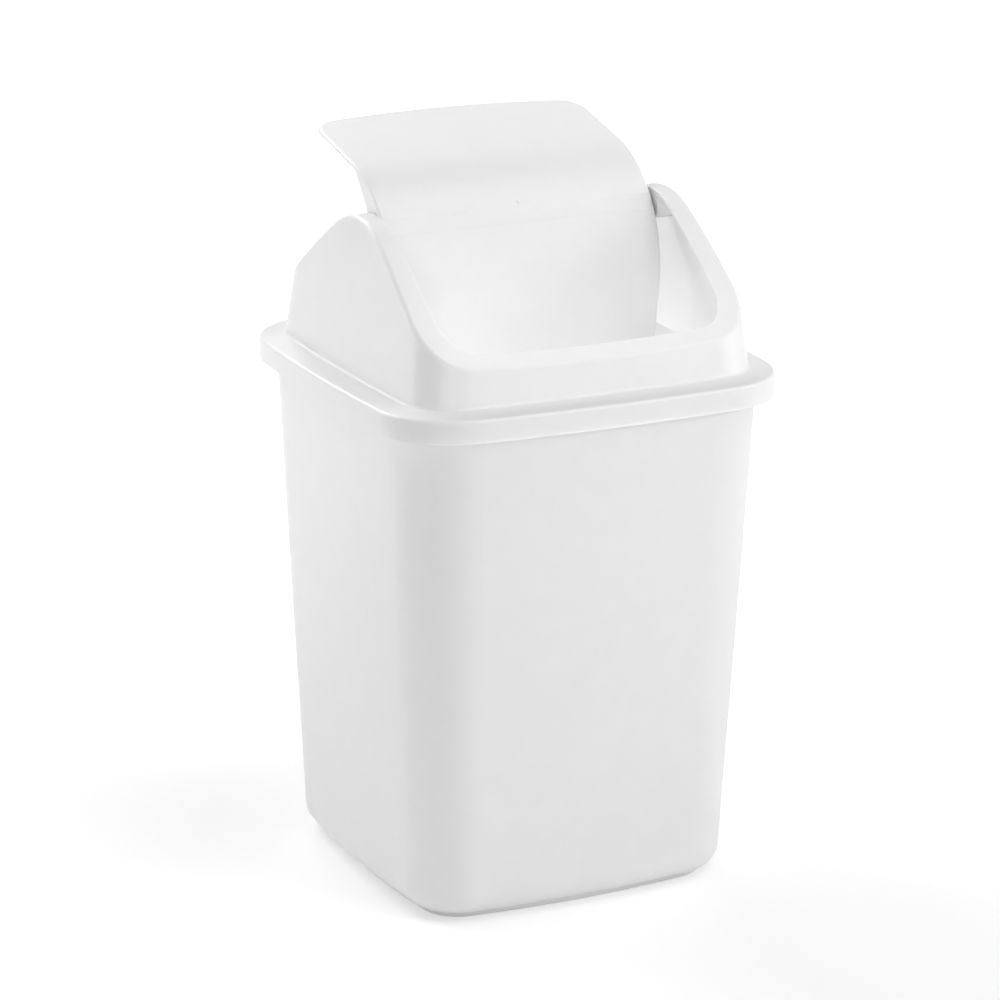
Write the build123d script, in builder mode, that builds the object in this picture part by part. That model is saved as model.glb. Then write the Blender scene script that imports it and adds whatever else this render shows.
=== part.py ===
from build123d import *

import os
from math import cos, radians, sin, sqrt

# Countertop swing-lid bin: a tapered bucket, a lift-off hood and a swing flap on two stub pins.
# Millimetres, +Z up, origin on the table under the middle of the bin, front towards -Y.
# The flap is drawn closed and then stood on its open plane, turned about the pivot line.

# Bucket
base_height = 2.0            # underside of the bucket above the table, carried by the foot ring
rim_height = 221.0           # top of the bucket's rim, where the hood sits
base_half = 75.6             # half of the outside width at the base, mid-side
rim_half = 85.5              # the same at the rim
base_bow = 4.9               # how far a side bows out at its middle, at the base
rim_bow = 3.85               # the same at the rim
base_corner = 24.0
rim_corner = 31.5
base_rounding = 9.7          # edge between the sides and the base
bucket_wall = 1.6
foot_inset = 7.3             # foot ring behind the sides
foot_width = 3.0
rim_reach = 3.4              # rim flange beyond the sides
rim_thickness = 1.6
lip_height = 5.0             # turned-down lip at the flange's edge
lip_thickness = 1.2

# Hood
hood_wall = 1.8
skirt_bottom = 214.3         # lower edge of the hood, below the bucket's rim
skirt_top = 224.1            # top of the upright band
skirt_half = 91.3
skirt_top_half = 91.9
skirt_bow = 4.2
skirt_corner = 31.0
skirt_top_corner = 35.0
skirt_round = 1.2
ledge_top = 225.6            # foot of the tower walls
tower_half = 80.2
tower_draft = 0.1206         # lean of the tower walls, per unit of height
tower_bow = 2.8
tower_corner = 21.5
tower_foot_round = 1.4
roof_top = 289.4             # top of the two cheeks that carry the flap
roof_round = 2.2
crown_radius = 38.7          # round top of a cheek
crown_slope = 32.1           # degrees, where the crown runs into the long roof arc
roof_radius = 427.0
mouth_half_x = 63.8
mouth_half_y = 72.2
mouth_bow = 2.0
mouth_corner = 13.5
mouth_round = 0.5
seat_half = 87.0             # rib under the ledge that rests on the bucket's rim
seat_width = 1.8
seat_height = 2.4

# Pivot line of the flap, along X
pivot_height = 281.0
pin_radius = 3.0
pin_play = 0.05
pin_length = 5.6
bore_depth = 5.2
bearing_width = 16.0
bearing_bottom = 276.7
bearing_top = 288.0          # inside the roof's thickness
bearing_round = 3.5
bearing_reach = 8.0          # from the mouth's side into the tower wall

# Flap, drawn closed: in its side view, across is Y and up is Z from the pivot line
open_angle = 56.0            # degrees, how far the flap stands open at rest
flap_half_x = 62.9
flap_wall = 1.6
shoulder_top = 6.2
shoulder_radius = 51.2
shoulder_slope = 42.7        # degrees, where the shoulder runs into the long wing arc
wing_radius = 1200.0
crease_depth = 0.8           # shallow crease along the pivot line
crease_radius = 12.0
gate_mark_back = 5.4         # round gate mark on the middle of the flap, behind the pivot line
gate_mark_floor = 5.6        # its flat floor above the pivot line
gate_mark_radius = 0.9
free_y = 68.8                # free edge at its middle
free_bow = 3.7
free_corner = 9.4
flap_round = 1.2
flap_depth = 50.0            # below the pivot line, clear of the whole flap
gable_mid = -4.3             # bottom edge of the gables under the pin
gable_end = -15.0            # the same arc under the free edges

overrun = 5.0                # how far a blank runs past the faces that trim it
near = 0.1                   # how near an edge lies to a height or outline that picks it out


def bowed_square(height, half, bow, corner):
    """Level outline of a square whose sides bow out and whose corners are round."""
    tip = half - bow
    with BuildSketch(Plane.XY.offset(height)) as outline:
        with BuildLine():
            ThreePointArc((-tip, -tip), (0, -half), (tip, -tip))
            ThreePointArc((tip, -tip), (half, 0), (tip, tip))
            ThreePointArc((tip, tip), (0, half), (-tip, tip))
            ThreePointArc((-tip, tip), (-half, 0), (-tip, -tip))
        make_face()
        fillet(outline.vertices(), corner)
    return outline.sketch


def bowed_ring(height, half, width, bow, corner):
    """Level ring of even width inside a bowed square."""
    with BuildSketch(Plane.XY.offset(height)) as ring:
        add(bowed_square(0, half, bow, corner))
        add(bowed_square(0, half - width, bow, corner - width), mode=Mode.SUBTRACT)
    return ring.sketch


def bowed_oblong(plane, half_x, half_y, bow, corner):
    """Outline with straight sides, its front and back bowed out and its corners round."""
    tip_y = half_y - bow
    with BuildSketch(plane) as outline:
        with BuildLine():
            ThreePointArc((-half_x, -tip_y), (0, -half_y), (half_x, -tip_y))
            Line((half_x, -tip_y), (half_x, tip_y))
            ThreePointArc((half_x, tip_y), (0, half_y), (-half_x, tip_y))
            Line((-half_x, tip_y), (-half_x, -tip_y))
        make_face()
        fillet(outline.vertices(), corner)
    return outline.sketch


with BuildPart() as bucket_hollow:
    floor_height = base_height + bucket_wall
    loft([
        bowed_square(floor_height, base_half - bucket_wall, base_bow, base_corner - bucket_wall),
        bowed_square(rim_height, rim_half - bucket_wall, rim_bow, rim_corner - bucket_wall),
    ])
    fillet(bucket_hollow.faces().sort_by(Axis.Z)[0].edges(), base_rounding - bucket_wall)

with BuildPart() as bin_body:
    loft([
        bowed_square(base_height, base_half, base_bow, base_corner),
        bowed_square(rim_height, rim_half, rim_bow, rim_corner),
    ])
    fillet(bin_body.faces().sort_by(Axis.Z)[0].edges(), base_rounding)
    extrude(
        bowed_ring(0, base_half - foot_inset, foot_width, base_bow, base_corner - foot_inset),
        amount=base_height + bucket_wall / 2,
    )
    lip_half = rim_half + rim_reach
    lip_corner = rim_corner + rim_reach
    extrude(
        bowed_square(rim_height - rim_thickness, lip_half, rim_bow, lip_corner),
        amount=rim_thickness,
    )
    extrude(
        bowed_ring(rim_height - lip_height, lip_half, lip_thickness, rim_bow, lip_corner),
        amount=lip_height,
    )
    add(bucket_hollow.part, mode=Mode.SUBTRACT)
bin_body.part.label = "bin_body"


def side_profile(inset):
    """Section of the hood seen from the side: crown and long roof arcs set in by inset, open far below."""
    slope = radians(crown_slope)
    crown_z = roof_top - crown_radius
    crown_end = ((crown_radius - inset) * sin(slope), crown_z + (crown_radius - inset) * cos(slope))
    arc_y = (crown_radius - roof_radius) * sin(slope)
    arc_z = crown_z + (crown_radius - roof_radius) * cos(slope)
    far_y = tower_half + overrun
    far_z = arc_z + sqrt((roof_radius - inset) ** 2 - (far_y - arc_y) ** 2)
    with BuildSketch(Plane.YZ.offset(-skirt_half)) as section:
        with BuildLine():
            RadiusArc((-far_y, far_z), (-crown_end[0], crown_end[1]), roof_radius - inset)
            ThreePointArc((-crown_end[0], crown_end[1]), (0, roof_top - inset), crown_end)
            RadiusArc(crown_end, (far_y, far_z), roof_radius - inset)
            Polyline((far_y, far_z), (far_y, skirt_bottom), (-far_y, skirt_bottom), (-far_y, far_z))
        make_face()
    return section.sketch


def hood_block(inset):
    """Skirt, sloped ledge and leaning tower under the roof as one solid, every face set in by inset."""
    over_roof = roof_top + overrun
    lean = tower_draft * (over_roof - ledge_top)
    with BuildPart() as block:
        loft([
            bowed_square(ledge_top - inset, tower_half - inset, tower_bow, tower_corner - inset),
            bowed_square(over_roof, tower_half - lean - inset, tower_bow, tower_corner - inset),
        ])
        extrude(side_profile(inset), amount=2 * skirt_half, mode=Mode.INTERSECT)
        loft([
            bowed_square(skirt_top - inset, skirt_top_half - inset, skirt_bow, skirt_top_corner - inset),
            bowed_square(ledge_top - inset, tower_half - inset, tower_bow, tower_corner - inset),
        ])
        loft([
            bowed_square(skirt_bottom, skirt_half - inset, skirt_bow, skirt_corner - inset),
            bowed_square(skirt_top - inset, skirt_top_half - inset, skirt_bow, skirt_top_corner - inset),
        ])
    return block.part


with BuildPart() as lid_hood:
    add(hood_block(0))
    roof_edges = lid_hood.faces().filter_by(GeomType.CYLINDER).edges()
    fillet(roof_edges.filter_by(GeomType.LINE, reverse=True), roof_round)
    for height, radius in ((ledge_top, tower_foot_round), (skirt_top, skirt_round)):
        level_edges = lid_hood.edges().filter_by_position(Axis.Z, height - near, height + near)
        fillet(level_edges, radius)
    add(hood_block(hood_wall), mode=Mode.SUBTRACT)
    mouth_floor = ledge_top + tower_foot_round
    mouth = bowed_oblong(Plane.XY.offset(mouth_floor), mouth_half_x, mouth_half_y, mouth_bow, mouth_corner)
    extrude(mouth, amount=roof_top - mouth_floor, mode=Mode.SUBTRACT)
    mouth_edges = lid_hood.edges().filter_by(
        lambda edge: abs(edge.center().X) < mouth_half_x + near
        and abs(edge.center().Y) < mouth_half_y + near
        and edge.center().Z > mouth_floor
    )
    fillet(mouth_edges.filter_by(GeomType.LINE, reverse=True), mouth_round)
    seat_corner = skirt_top_corner - skirt_top_half + seat_half
    extrude(bowed_ring(rim_height, seat_half, seat_width, skirt_bow, seat_corner), amount=seat_height)
    for side in (-1, 1):
        with BuildSketch(Plane.YZ.offset(side * mouth_half_x)) as bearing:
            with Locations((0, (bearing_bottom + bearing_top) / 2)):
                Rectangle(bearing_width, bearing_top - bearing_bottom)
            fillet(bearing.vertices().group_by(Axis.Z)[0], bearing_round)
        extrude(amount=side * bearing_reach)
        with BuildSketch(Plane.YZ.offset(side * mouth_half_x)):
            with Locations((0, pivot_height)):
                Circle(pin_radius + pin_play)
        extrude(amount=side * bore_depth, mode=Mode.SUBTRACT)
lid_hood.part.label = "lid_hood"


open_turn = radians(open_angle)
flap_side = Plane(
    origin=(-flap_half_x, 0, pivot_height),
    x_dir=(0, cos(open_turn), sin(open_turn)),
    z_dir=(1, 0, 0),
)
flap_plan = Plane(
    origin=(0, 0, pivot_height),
    x_dir=(1, 0, 0),
    z_dir=(0, -sin(open_turn), cos(open_turn)),
)


def flap_profile(side, inset):
    """Closed flap seen from the side: round shoulder and long wings set in by inset, open far below."""
    beyond = free_y + overrun
    slope = radians(shoulder_slope)
    shoulder = shoulder_radius - inset
    bend = (shoulder * sin(slope), shoulder_top - shoulder_radius + shoulder * cos(slope))
    wing = wing_radius - inset
    wing_y = (shoulder_radius - wing_radius) * sin(slope)
    wing_z = shoulder_top - shoulder_radius + (shoulder_radius - wing_radius) * cos(slope)
    end_z = wing_z + sqrt(wing**2 - (beyond - wing_y) ** 2)
    with BuildSketch(side) as section:
        with BuildLine():
            RadiusArc((-beyond, end_z), (-bend[0], bend[1]), wing)
            ThreePointArc((-bend[0], bend[1]), (0, shoulder_top - inset), bend)
            RadiusArc(bend, (beyond, end_z), wing)
            Polyline((beyond, end_z), (beyond, -flap_depth), (-beyond, -flap_depth), (-beyond, end_z))
        make_face()
    return section.sketch


def below_gables():
    """Everything lower than the gables' bottom edge, in the flap's side view."""
    with BuildSketch(flap_side) as section:
        with BuildLine():
            ThreePointArc((-free_y, gable_end), (0, gable_mid), (free_y, gable_end))
            Polyline(
                (free_y, gable_end),
                (free_y, -flap_depth),
                (-free_y, -flap_depth),
                (-free_y, gable_end),
            )
        make_face()
    return section.sketch


with BuildPart() as flap_hollow:
    extrude(flap_profile(flap_side, flap_wall), amount=2 * flap_half_x)
    extrude(below_gables(), amount=2 * flap_half_x, mode=Mode.INTERSECT)
    extrude(flap_profile(flap_side.offset(flap_wall), flap_wall), amount=2 * (flap_half_x - flap_wall))

with BuildPart() as swing_flap:
    extrude(flap_profile(flap_side, 0), amount=2 * flap_half_x)
    extrude(
        bowed_oblong(flap_plan.offset(-flap_depth), flap_half_x, free_y, free_bow, free_corner),
        amount=2 * flap_depth,
        mode=Mode.INTERSECT,
    )
    outer_edges = swing_flap.edges().filter_by(
        lambda edge: flap_plan.to_local_coords(edge.center()).Z > near - flap_depth
    )
    fillet(outer_edges.filter_by(GeomType.LINE, reverse=True), flap_round)
    add(flap_hollow.part, mode=Mode.SUBTRACT)
    with BuildSketch(flap_side):
        with Locations((0, shoulder_top - crease_depth + crease_radius)):
            Circle(crease_radius)
    extrude(amount=2 * flap_half_x, mode=Mode.SUBTRACT)
    with BuildSketch(flap_plan.offset(gate_mark_floor)):
        with Locations((0, gate_mark_back)):
            Circle(gate_mark_radius)
    extrude(amount=overrun, mode=Mode.SUBTRACT)
    for side in (-1, 1):
        with BuildSketch(Plane.YZ.offset(side * (flap_half_x - flap_wall / 2))):
            with Locations((0, pivot_height)):
                Circle(pin_radius)
        extrude(amount=side * (pin_length + flap_wall / 2))
swing_flap.part.label = "swing_flap"

os.makedirs("parts", exist_ok=True)
for piece in (bin_body, lid_hood, swing_flap):
    export_step(piece.part, f"parts/{piece.part.label}.step")
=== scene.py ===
from math import cos, pi, radians, sin

import bmesh
import bpy
from mathutils import Matrix, Vector

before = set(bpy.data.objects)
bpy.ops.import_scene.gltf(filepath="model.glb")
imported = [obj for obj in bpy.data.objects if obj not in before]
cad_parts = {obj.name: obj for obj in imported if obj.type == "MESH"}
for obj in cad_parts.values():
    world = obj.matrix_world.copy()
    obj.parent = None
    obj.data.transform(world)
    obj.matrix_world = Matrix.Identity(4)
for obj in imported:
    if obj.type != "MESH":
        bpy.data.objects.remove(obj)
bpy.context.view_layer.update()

MM = 0.001

# Camera: degrees round the bin from straight ahead (right positive) and above the table, and metres
CAMERA_AZIMUTH = -26.396
CAMERA_ELEVATION = 17.241
CAMERA_DISTANCE = 1.7258
CAMERA_TARGET = (0, 0, 0.1581)
CAMERA_ROLL = 0.479
LENS = 145.22                # mm on a 36 mm wide sensor
SHIFT_X = -0.0121

# Studio
FLOOR_SIZE = 6.0
FLOOR_COLOUR = "#F0F0F0"
SKY_STRENGTH = 0.02          # even light from all round
GLOW_NEAR = 0.30             # floor as the lens sees it, on top of what it reflects
GLOW_FAR = 1.0
GLOW_REACH = (0.3, 0.9)      # metres from the bin over which the glow grows
BOX_SIZE = (0.8, 0.8)
BOX_DISTANCE = 1.5

# Softboxes round the bin: degrees from straight ahead, degrees above the table, brightness
BOXES = {
    "front_left_low": (-30, 12, 3.0),
    "front_right_low": (30, 12, 0.7),
    "front_right_high": (30, 40, 1.6),
    "right_low": (60, 12, 3.1),
    "right_high": (90, 40, 0.7),
    "right_top": (45, 70, 3.1),
    "back_left_low": (-120, 12, 2.8),
    "back_left_high": (-150, 40, 3.8),
    "back_high": (180, 40, 2.8),
}
# Panels inside the bucket that light the hood and flap alone: place, what they face, size, brightness
PANELS = {
    "under_mouth": ((0, -0.068, 0.15), (0, -0.01, 0.24), (0.12, 0.08), 2.1),
    "under_left_cheek": ((-0.07, -0.02, 0.20), (0.07, -0.02, 0.25), (0.10, 0.05), 2.2),
}
# The same for panels that light the bucket's walls too
WALL_PANELS = {
    "bottom": ((0, 0, 0.03), (0, 0, 1), (0.10, 0.10), 0.8),
    "right": ((0.02, 0, 0.17), (0.08, 0.02, 0.20), (0.04, 0.04), 5.0),
}

# The plastic: the two whites that its resin varies between, and what shows in its skin, in mm
WHITE = ("#EDEDED", "#F1F1F1")
SCATTER_DEPTH = 1.5          # how far light goes into the resin
CLOUD_SIZE = 9               # patches of uneven white and gloss
FLOW_SIZE = 45               # slow waves from cooling
FLOW_DEPTH = 0.5
FLOW_SHOWS = 0.5             # how much of its depth is seen, from 0 to 1
POLISH_SIZE = 2.2            # upright lines, this wide
POLISH_STRETCH = 50          # and this many times as long
POLISH_DEPTH = 0.02
POLISH_SHOWS = 0.3
GRAIN_SIZE = 0.55
GRAIN_DEPTH = 0.012
GRAIN_SHOWS = 0.3
UNEVEN_RANGE = (0.7, 1.3)    # cloud and polish added up, where the skin is glossiest and dullest

# Each piece's material and its roughness, at its glossiest and its dullest
PLASTICS = {
    "bin_body": ("bucket_plastic", (0.31, 0.38)),
    "lid_hood": ("hood_plastic", (0.29, 0.36)),
    "swing_flap": ("flap_plastic", (0.30, 0.38)),
}


def linear(code):
    """Linear RGBA of an sRGB hex colour."""
    channels = [int(code[i:i + 2], 16) / 255 for i in (1, 3, 5)]
    return [c / 12.92 if c <= 0.04045 else ((c + 0.055) / 1.055) ** 2.4 for c in channels] + [1.0]


def direction(azimuth, elevation):
    """Unit vector from the bin towards a place round it, 0 being straight ahead of its front."""
    a, e = radians(azimuth), radians(elevation)
    return Vector((sin(a) * cos(e), -cos(a) * cos(e), sin(e)))


def add_node(tree, kind, inputs=None, **settings):
    """Adds a shader node; an input is linked if its value is a socket and set if it is a constant."""
    made = tree.nodes.new(kind)
    for name, value in settings.items():
        setattr(made, name, value)
    for name, value in (inputs or {}).items():
        if isinstance(value, bpy.types.NodeSocket):
            tree.links.new(value, made.inputs[name])
        else:
            made.inputs[name].default_value = value
    return made


def aim(obj, place, target, roll=0.0):
    """Puts a camera or lamp at place, looking at target."""
    facing = (Vector(target) - Vector(place)).to_track_quat("-Z", "Y").to_matrix().to_4x4()
    obj.matrix_world = Matrix.Translation(place) @ facing @ Matrix.Rotation(radians(roll), 4, "Z")


def new_object(name, data):
    made = bpy.data.objects.new(name, data)
    bpy.context.scene.collection.objects.link(made)
    return made


def moulded_polypropylene(name, roughness):
    """Injection-moulded polypropylene, a milky resin with a satin skin copied from the steel mould.

    Light goes a millimetre or two into the resin, so edges and thin walls look soft. The skin shows the
    slow waves of cooling, fine upright lines from the polishing of the mould, and a fine even grain.
    """
    material = bpy.data.materials.new(name)
    material.use_nodes = True
    tree = material.node_tree
    tree.nodes.clear()
    where = add_node(tree, "ShaderNodeTexCoord").outputs["Object"]
    upright = add_node(
        tree, "ShaderNodeMapping", {"Vector": where, "Scale": (1.0, 1.0, 1 / POLISH_STRETCH)},
    )
    flow = add_node(
        tree, "ShaderNodeTexNoise", {"Vector": where, "Scale": 1 / (FLOW_SIZE * MM), "Detail": 3.0},
    )
    cloud = add_node(
        tree, "ShaderNodeTexNoise", {"Vector": where, "Scale": 1 / (CLOUD_SIZE * MM), "Detail": 4.0},
    )
    polish = add_node(
        tree, "ShaderNodeTexNoise",
        {"Vector": upright.outputs[0], "Scale": 1 / (POLISH_SIZE * MM), "Detail": 3.0},
    )
    grain = add_node(
        tree, "ShaderNodeTexNoise", {"Vector": where, "Scale": 1 / (GRAIN_SIZE * MM), "Detail": 2.0},
    )

    # The resin's white is not quite even from place to place
    colour = add_node(
        tree, "ShaderNodeMix",
        {"Factor": cloud.outputs["Fac"], "A": linear(WHITE[0]), "B": linear(WHITE[1])},
        data_type="RGBA",
    )
    # Polishing and handling leave the gloss uneven
    uneven = add_node(
        tree, "ShaderNodeMath", {0: cloud.outputs["Fac"], 1: polish.outputs["Fac"]}, operation="ADD",
    )
    skin = add_node(
        tree, "ShaderNodeMapRange",
        {
            "Value": uneven.outputs[0],
            "From Min": UNEVEN_RANGE[0],
            "From Max": UNEVEN_RANGE[1],
            "To Min": roughness[0],
            "To Max": roughness[1],
        },
    )
    wave = add_node(
        tree, "ShaderNodeBump",
        {"Height": flow.outputs["Fac"], "Strength": FLOW_SHOWS, "Distance": FLOW_DEPTH * MM},
    )
    lines = add_node(
        tree, "ShaderNodeBump",
        {
            "Height": polish.outputs["Fac"],
            "Strength": POLISH_SHOWS,
            "Distance": POLISH_DEPTH * MM,
            "Normal": wave.outputs[0],
        },
    )
    fine = add_node(
        tree, "ShaderNodeBump",
        {
            "Height": grain.outputs["Fac"],
            "Strength": GRAIN_SHOWS,
            "Distance": GRAIN_DEPTH * MM,
            "Normal": lines.outputs[0],
        },
    )
    shader = add_node(
        tree, "ShaderNodeBsdfPrincipled",
        {
            "Base Color": colour.outputs["Result"],
            "Roughness": skin.outputs["Result"],
            "Normal": fine.outputs["Normal"],
            "IOR": 1.49,
            "Subsurface Weight": 1.0,
            "Subsurface Radius": (1.0, 1.0, 1.0),
            "Subsurface Scale": SCATTER_DEPTH * MM,
        },
    )
    add_node(tree, "ShaderNodeOutputMaterial", {"Surface": shader.outputs[0]})
    return material


def softbox(name, place, target, size, strength):
    """A rectangle of even light; strength is its brightness, with white paper at 1."""
    lamp = bpy.data.lights.new(name, "AREA")
    lamp.shape = "RECTANGLE"
    lamp.size, lamp.size_y = size
    lamp.energy = strength * pi * size[0] * size[1]
    box = new_object(name, lamp)
    aim(box, place, target)
    return box


def hidden_panel(name, place, target, size, strength):
    """A softbox seen neither by the lens nor in reflections."""
    panel = softbox(name, place, target, size, strength)
    panel.visible_camera = False
    panel.visible_glossy = False
    return panel


def seen_by_eye(tree):
    """1 for rays to the lens and for reflected and refracted ones, 0 for rays that light things."""
    path = add_node(tree, "ShaderNodeLightPath")
    mirrored = add_node(
        tree, "ShaderNodeMath",
        {0: path.outputs["Is Glossy Ray"], 1: path.outputs["Is Transmission Ray"]},
        operation="MAXIMUM",
    )
    return add_node(
        tree, "ShaderNodeMath",
        {0: path.outputs["Is Camera Ray"], 1: mirrored.outputs[0]},
        operation="MAXIMUM",
    ).outputs[0]


def studio():
    world = bpy.data.worlds.new("studio")
    bpy.context.scene.world = world
    world.use_nodes = True
    tree = world.node_tree
    tree.nodes.clear()
    strength = add_node(
        tree, "ShaderNodeMapRange",
        {"Value": seen_by_eye(tree), "To Min": SKY_STRENGTH, "To Max": 1.0},
    )
    sky = add_node(
        tree, "ShaderNodeBackground",
        {"Color": linear("#FFFFFF"), "Strength": strength.outputs["Result"]},
    )
    add_node(tree, "ShaderNodeOutputWorld", {"Surface": sky.outputs[0]})

    mesh = bpy.data.meshes.new("floor")
    shape = bmesh.new()
    bmesh.ops.create_grid(shape, x_segments=1, y_segments=1, size=FLOOR_SIZE / 2)
    shape.to_mesh(mesh)
    shape.free()
    floor = new_object("floor", mesh)
    paper = bpy.data.materials.new("matt_white_paper")
    paper.use_nodes = True
    tree = paper.node_tree
    tree.nodes.clear()
    where = add_node(tree, "ShaderNodeTexCoord").outputs["Object"]
    away = add_node(tree, "ShaderNodeVectorMath", {0: where}, operation="LENGTH")
    level = add_node(
        tree, "ShaderNodeMapRange",
        {
            "Value": away.outputs["Value"],
            "From Min": GLOW_REACH[0],
            "From Max": GLOW_REACH[1],
            "To Min": GLOW_NEAR,
            "To Max": GLOW_FAR,
        },
    )
    glow_strength = add_node(
        tree, "ShaderNodeMath", {0: seen_by_eye(tree), 1: level.outputs["Result"]}, operation="MULTIPLY",
    )
    glow = add_node(tree, "ShaderNodeEmission", {"Strength": glow_strength.outputs[0]})
    matt = add_node(tree, "ShaderNodeBsdfDiffuse", {"Color": linear(FLOOR_COLOUR)})
    both = add_node(tree, "ShaderNodeAddShader", {0: matt.outputs[0], 1: glow.outputs[0]})
    add_node(tree, "ShaderNodeOutputMaterial", {"Surface": both.outputs[0]})
    mesh.materials.append(paper)

    middle = Vector(CAMERA_TARGET)
    for name, (azimuth, elevation, strength) in BOXES.items():
        place = middle + direction(azimuth, elevation) * BOX_DISTANCE
        softbox(name, place, middle, BOX_SIZE, strength)
    # Milky walls let light into a real bin, and the panels inside stand in for it
    lit_from_inside = bpy.data.collections.new("lit_from_inside")
    for node in ("lid_hood", "swing_flap"):
        lit_from_inside.objects.link(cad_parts[node])
    for name, panel in PANELS.items():
        hidden_panel(name, *panel).light_linking.receiver_collection = lit_from_inside
    for name, panel in WALL_PANELS.items():
        hidden_panel(name, *panel)


def camera():
    lens = bpy.data.cameras.new("camera")
    lens.lens = LENS
    lens.sensor_width = 36
    lens.shift_x = SHIFT_X
    made = new_object("camera", lens)
    place = Vector(CAMERA_TARGET) + direction(CAMERA_AZIMUTH, CAMERA_ELEVATION) * CAMERA_DISTANCE
    aim(made, place, CAMERA_TARGET, CAMERA_ROLL)
    bpy.context.scene.camera = made


camera()
studio()
for node, (material_name, roughness) in PLASTICS.items():
    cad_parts[node].material_slots[0].material = moulded_polypropylene(material_name, roughness)

scene = bpy.context.scene
scene.view_settings.view_transform = "Standard"
